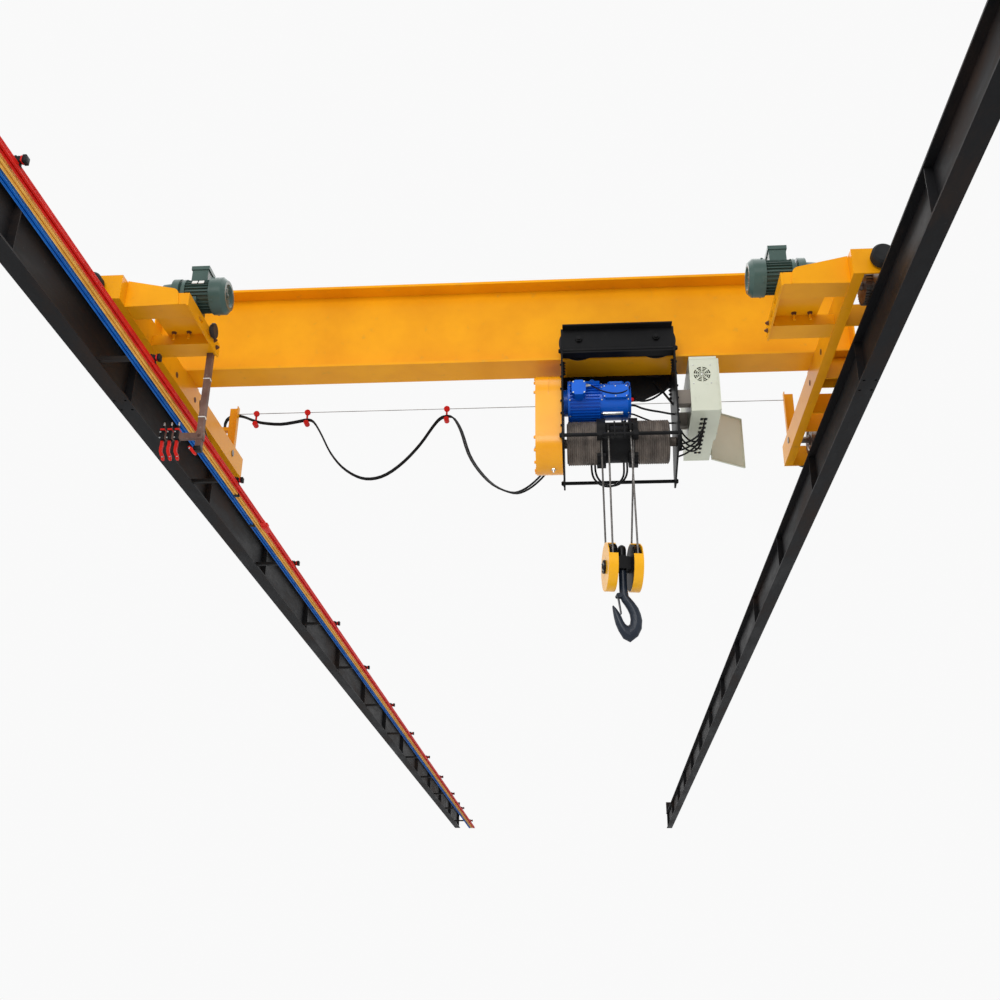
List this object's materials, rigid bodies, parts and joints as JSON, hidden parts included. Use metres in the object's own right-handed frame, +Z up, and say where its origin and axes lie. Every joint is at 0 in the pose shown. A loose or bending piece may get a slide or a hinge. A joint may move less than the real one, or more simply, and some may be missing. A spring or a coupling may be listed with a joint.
{
  "type": "overhead bridge crane",
  "caption": "Single-girder bridge crane with an underslung wire-rope hoist, festoon and control panel, on two runway beams with a conductor rail.",
  "frame": {"origin": "centre of the seat under the left runway beam at its second support", "axes": "+X across the runway along the girder, +Y along the runway away from the near end, +Z up"},
  "size_m": [4.892, 25.9, 2.574],
  "materials": {
    "runway_paint": "dull black paint, rusting",
    "rail_steel": "bare worn steel",
    "bar_blue": "ribbed plastic",
    "bar_yellow": "ribbed plastic",
    "bar_red": "ribbed plastic",
    "arm_paint": "dull paint",
    "girder_paint": "semi-gloss enamel",
    "carriage_paint": "semi-gloss enamel",
    "platform_paint": "semi-gloss enamel",
    "buffer_rubber": "matt rubber",
    "travel_motor_paint": "grey-green enamel",
    "mast_primer": "red-brown primer",
    "collector_red": "moulded plastic",
    "wire_steel": "galvanised",
    "carrier_red": "moulded plastic",
    "cable_black": "satin sheath",
    "wheel_steel": "machined tread",
    "trolley_black": "semi-gloss black",
    "hoist_blue": "gloss enamel",
    "gear_case_yellow": "gloss enamel",
    "guide_black": "black paint",
    "anchor_black": "semi-gloss black",
    "trolley_wheel_black": "black paint",
    "drum_rope": "greased rope on steel",
    "bracket_primer": "primer",
    "panel_cream": "smooth enamel",
    "rope_steel": "greased wire rope",
    "block_yellow": "gloss enamel",
    "sheave_black": "black paint",
    "crosshead_black": "semi-gloss black",
    "hook_slate": "forged and painted",
    "latch_steel": "pressed steel"
  },
  "bodies": {
    "runway": {"left_runway_beam": "runway_paint", "right_runway_beam": "runway_paint", "rails": "rail_steel", "runway_end_stops": "runway_paint", "conductor_bar_blue": "bar_blue", "conductor_bar_yellow": "bar_yellow", "conductor_bar_red": "bar_red", "conductor_brackets": "arm_paint"},
    "bridge": {"bridge_girder": "girder_paint", "left_end_carriage": "carriage_paint", "right_end_carriage": "carriage_paint", "end_buffers": "buffer_rubber", "left_drive_platform": "platform_paint", "right_drive_platform": "platform_paint", "left_drive_motor": "travel_motor_paint", "right_drive_motor": "travel_motor_paint", "collector_mast": "mast_primer", "current_collectors": "collector_red", "festoon_posts": "platform_paint", "festoon_wire": "wire_steel", "cable_carriers": "carrier_red", "front_festoon_cable": "cable_black", "rear_festoon_cable": "cable_black"},
    "trolley": {"trolley_plates": "trolley_black", "side_plates": "trolley_black", "tie_rods": "trolley_black", "hoist_motor": "hoist_blue", "gear_case": "gear_case_yellow", "rope_guides": "guide_black", "rope_anchor": "anchor_black", "panel_bracket": "bracket_primer", "control_panel": "panel_cream", "rope_falls": "rope_steel"},
    "drum": {"rope_drum": "drum_rope"},
    "hook_block": {"sheave_covers": "block_yellow", "crosshead": "crosshead_black"},
    "sheaves": {"block_sheaves": "sheave_black"},
    "hook_body": {"hook": "hook_slate"},
    "latch": {"hook_latch": "latch_steel"},
    "door": {"panel_door": "panel_cream"},
    "left_drive_wheel_body": {"left_drive_wheel": "wheel_steel"},
    "left_idle_wheel_body": {"left_idle_wheel": "wheel_steel"},
    "right_drive_wheel_body": {"right_drive_wheel": "wheel_steel"},
    "right_idle_wheel_body": {"right_idle_wheel": "wheel_steel"},
    "front_left_trolley_wheel_body": {"front_left_trolley_wheel": "trolley_wheel_black"},
    "front_right_trolley_wheel_body": {"front_right_trolley_wheel": "trolley_wheel_black"},
    "rear_left_trolley_wheel_body": {"rear_left_trolley_wheel": "trolley_wheel_black"},
    "rear_right_trolley_wheel_body": {"rear_right_trolley_wheel": "trolley_wheel_black"}
  },
  "joints": [
    {"name": "bridge_travel", "type": "slide", "parent": "runway", "child": "bridge", "axis": [0, 1, 0], "range_m": [-5.55, 17.15]},
    {"name": "left_drive_wheel_turn", "type": "hinge", "parent": "bridge", "child": "left_drive_wheel_body", "pos_m": [0, -0.4, 0.4403], "axis": [1, 0, 0], "continuous": true},
    {"name": "left_idle_wheel_turn", "type": "hinge", "parent": "bridge", "child": "left_idle_wheel_body", "pos_m": [0, 1.6, 0.4403], "axis": [1, 0, 0], "continuous": true},
    {"name": "right_drive_wheel_turn", "type": "hinge", "parent": "bridge", "child": "right_drive_wheel_body", "pos_m": [4.6, -0.4, 0.4403], "axis": [1, 0, 0], "continuous": true},
    {"name": "right_idle_wheel_turn", "type": "hinge", "parent": "bridge", "child": "right_idle_wheel_body", "pos_m": [4.6, 1.6, 0.4403], "axis": [1, 0, 0], "continuous": true},
    {"name": "trolley_travel", "type": "slide", "parent": "bridge", "child": "trolley", "axis": [1, 0, 0], "range_m": [-2.15, 0.33], "deforming": ["front_festoon_cable", "rear_festoon_cable"]},
    {"name": "front_left_trolley_wheel_turn", "type": "hinge", "parent": "trolley", "child": "front_left_trolley_wheel_body", "pos_m": [2.8715, 0.6, 0.6433], "axis": [0, 1, 0], "continuous": true},
    {"name": "front_right_trolley_wheel_turn", "type": "hinge", "parent": "trolley", "child": "front_right_trolley_wheel_body", "pos_m": [3.3845, 0.6, 0.6433], "axis": [0, 1, 0], "continuous": true},
    {"name": "rear_left_trolley_wheel_turn", "type": "hinge", "parent": "trolley", "child": "rear_left_trolley_wheel_body", "pos_m": [2.8715, 0.6, 0.6433], "axis": [0, 1, 0], "continuous": true},
    {"name": "rear_right_trolley_wheel_turn", "type": "hinge", "parent": "trolley", "child": "rear_right_trolley_wheel_body", "pos_m": [3.3845, 0.6, 0.6433], "axis": [0, 1, 0], "continuous": true},
    {"name": "hoist_lift", "type": "slide", "parent": "trolley", "child": "hook_block", "axis": [0, 0, 1], "range_m": [-3.4, 0.35], "deforming": ["rope_falls"]},
    {"name": "drum_turn", "type": "hinge", "parent": "trolley", "child": "drum", "pos_m": [3.128, 0.6, -0.048], "axis": [1, 0, 0], "continuous": true},
    {"name": "sheave_turn", "type": "hinge", "parent": "hook_block", "child": "sheaves", "pos_m": [3.116, 0.6, -0.92], "axis": [0.989, 0.1478, 0], "continuous": true},
    {"name": "hook_swivel", "type": "hinge", "parent": "hook_block", "child": "hook_body", "pos_m": [3.116, 0.6, -0.941], "axis": [0, 0, 1], "continuous": true},
    {"name": "latch_hinge", "type": "hinge", "parent": "hook_body", "child": "latch", "pos_m": [3.08237, 0.59497, -1.108], "axis": [0.1478, -0.989, 0], "range_deg": [0, 14], "stiffness_Nm_per_rad": 0.6, "springref_deg": -11.46},
    {"name": "panel_door_hinge", "type": "hinge", "parent": "trolley", "child": "door", "pos_m": [3.782, 1.145, 0.26], "axis": [0, 0, 1], "range_deg": [-122, 8]}
  ],
  "couplings": [
    {"joint": "left_drive_wheel_turn", "follows": "bridge_travel", "rad_per_m": -10},
    {"joint": "left_idle_wheel_turn", "follows": "bridge_travel", "rad_per_m": -10},
    {"joint": "right_drive_wheel_turn", "follows": "bridge_travel", "rad_per_m": -10},
    {"joint": "right_idle_wheel_turn", "follows": "bridge_travel", "rad_per_m": -10},
    {"joint": "front_left_trolley_wheel_turn", "follows": "trolley_travel", "rad_per_m": 10},
    {"joint": "front_right_trolley_wheel_turn", "follows": "trolley_travel", "rad_per_m": 10},
    {"joint": "rear_left_trolley_wheel_turn", "follows": "trolley_travel", "rad_per_m": 10},
    {"joint": "rear_right_trolley_wheel_turn", "follows": "trolley_travel", "rad_per_m": 10},
    {"joint": "drum_turn", "follows": "hoist_lift", "rad_per_m": 14.44},
    {"joint": "sheave_turn", "follows": "hoist_lift", "rad_per_m": 7.8125}
  ]
}
